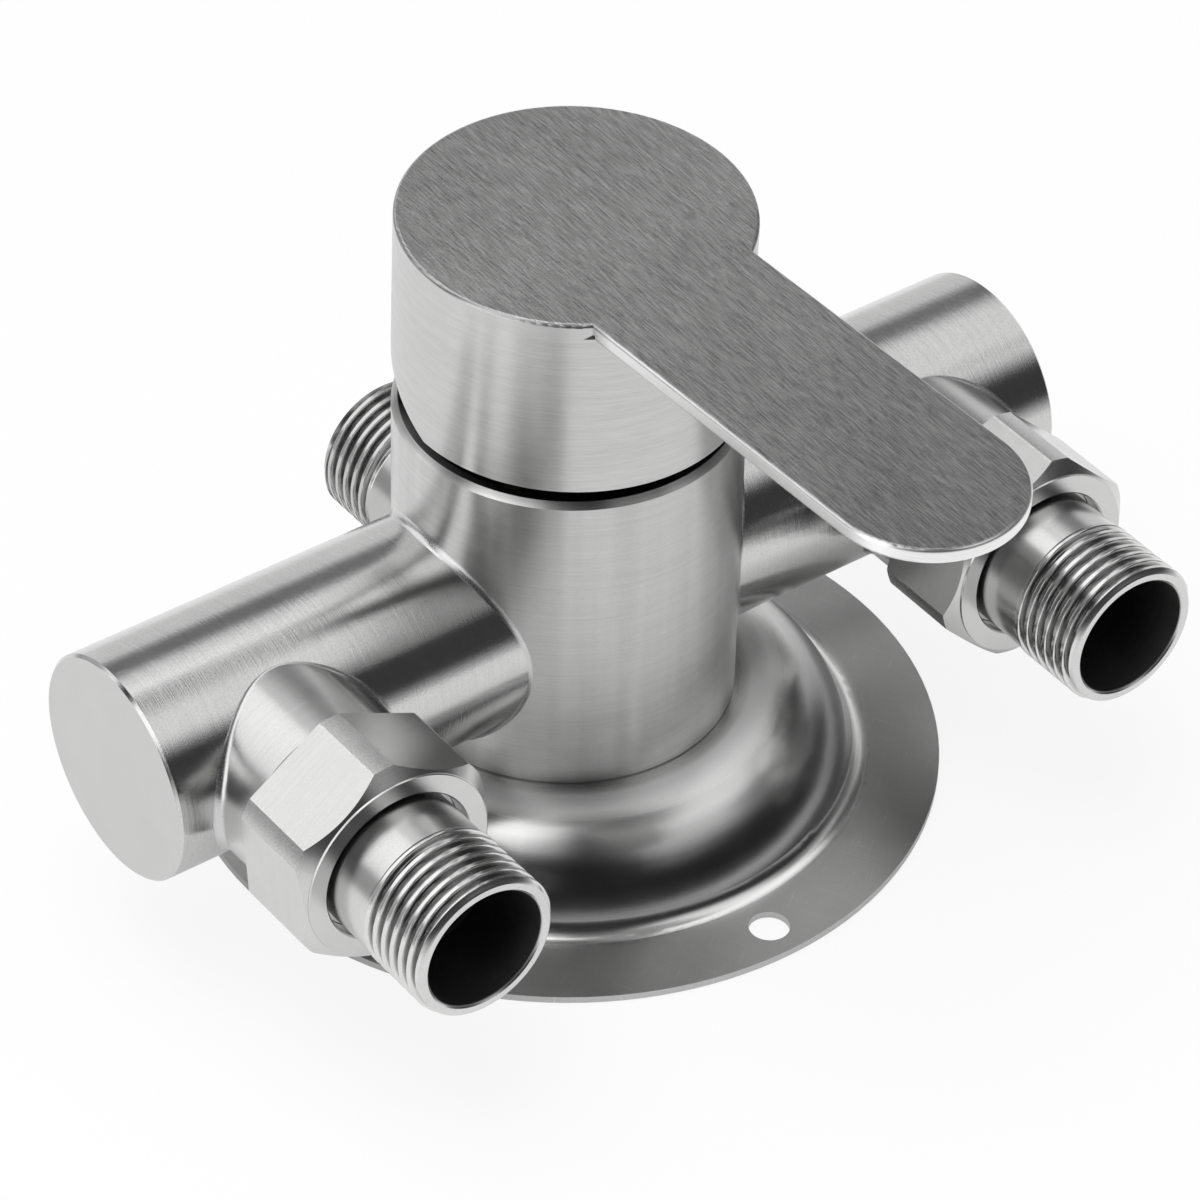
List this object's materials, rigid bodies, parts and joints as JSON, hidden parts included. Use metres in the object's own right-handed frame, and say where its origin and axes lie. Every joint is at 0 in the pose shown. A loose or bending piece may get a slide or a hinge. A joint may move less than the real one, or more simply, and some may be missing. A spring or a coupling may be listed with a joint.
{
  "type": "shower valve",
  "caption": "Exposed single-lever shower mixing valve: cross tube with two union inlets, threaded outlet, domed wall flange and a flat lever on a cup-shaped handle.",
  "frame": {"origin": "centre of the wall flange's back face, on the axis of the barrel and of the screw circle", "axes": "+Z out of the wall along the barrel, +X along the cross tube, -Y the way the lever and the inlets point, +Y towards the outlet"},
  "size_m": [0.1426, 0.1316, 0.0898],
  "materials": {
    "stainless_steel": "satin",
    "polished_steel": "polished",
    "brushed_lever": "coarse brushed",
    "nut_steel": "satin",
    "thread_steel": "bright turned",
    "brass": "turned",
    "cartridge_plastic": "moulded",
    "disc_ceramic": "ground",
    "seal_rubber": "matt",
    "plug_plastic": "gloss"
  },
  "bodies": {
    "valve_body": {"wall_flange": "polished_steel", "flange_ring_nut": "brass", "valve_barrel": "stainless_steel", "cross_arm_left": "stainless_steel", "cross_arm_right": "stainless_steel", "end_cap_left": "stainless_steel", "end_cap_right": "stainless_steel", "inlet_boss_left": "stainless_steel", "inlet_boss_right": "stainless_steel", "union_gasket_left": "seal_rubber", "union_gasket_right": "seal_rubber", "outlet_nipple": "thread_steel", "cartridge_base": "cartridge_plastic", "base_seals": "seal_rubber", "fixed_disc": "disc_ceramic", "cartridge_housing": "cartridge_plastic", "cartridge_lock_nut": "brass"},
    "cartridge_head": {"cartridge_rotor": "cartridge_plastic", "spindle_pin": "stainless_steel"},
    "disc_slider": {"moving_disc": "disc_ceramic", "disc_carrier": "cartridge_plastic"},
    "lever": {"spindle": "stainless_steel", "handle_skirt": "stainless_steel", "lever_plate": "brushed_lever", "handle_hub": "stainless_steel", "set_screw": "stainless_steel", "index_plug": "plug_plastic"},
    "nut_left": {"union_nut_left": "nut_steel"},
    "nut_right": {"union_nut_right": "nut_steel"},
    "swivel_left": {"tailpiece_left": "thread_steel"},
    "swivel_right": {"tailpiece_right": "thread_steel"}
  },
  "joints": [
    {"name": "temperature_turn", "type": "hinge", "parent": "valve_body", "child": "cartridge_head", "pos_m": [0, 0, 0.0595], "axis": [0, 0, 1], "range_deg": [-52.7, 47.3]},
    {"name": "flow_lift", "type": "hinge", "parent": "cartridge_head", "child": "lever", "pos_m": [0, 0, 0.0595], "axis": [-0.9989, -0.0471, 0], "range_deg": [0, 25]},
    {"name": "disc_shift", "type": "slide", "parent": "cartridge_head", "child": "disc_slider", "axis": [0.0471, -0.9989, 0], "range_m": [0, 0.0052]},
    {"name": "union_nut_left_turn", "type": "hinge", "parent": "valve_body", "child": "nut_left", "pos_m": [-0.05215, -0.03, 0.0312], "axis": [0, -1, 0], "continuous": true},
    {"name": "tailpiece_left_swivel", "type": "hinge", "parent": "valve_body", "child": "swivel_left", "pos_m": [-0.05215, -0.04, 0.0312], "axis": [0, -1, 0], "continuous": true},
    {"name": "union_nut_right_turn", "type": "hinge", "parent": "valve_body", "child": "nut_right", "pos_m": [0.05215, -0.03, 0.0312], "axis": [0, -1, 0], "continuous": true},
    {"name": "tailpiece_right_swivel", "type": "hinge", "parent": "valve_body", "child": "swivel_right", "pos_m": [0.05215, -0.04, 0.0312], "axis": [0, -1, 0], "continuous": true}
  ],
  "couplings": [
    {"joint": "disc_shift", "follows": "flow_lift", "m_per_rad": 0.011869}
  ]
}
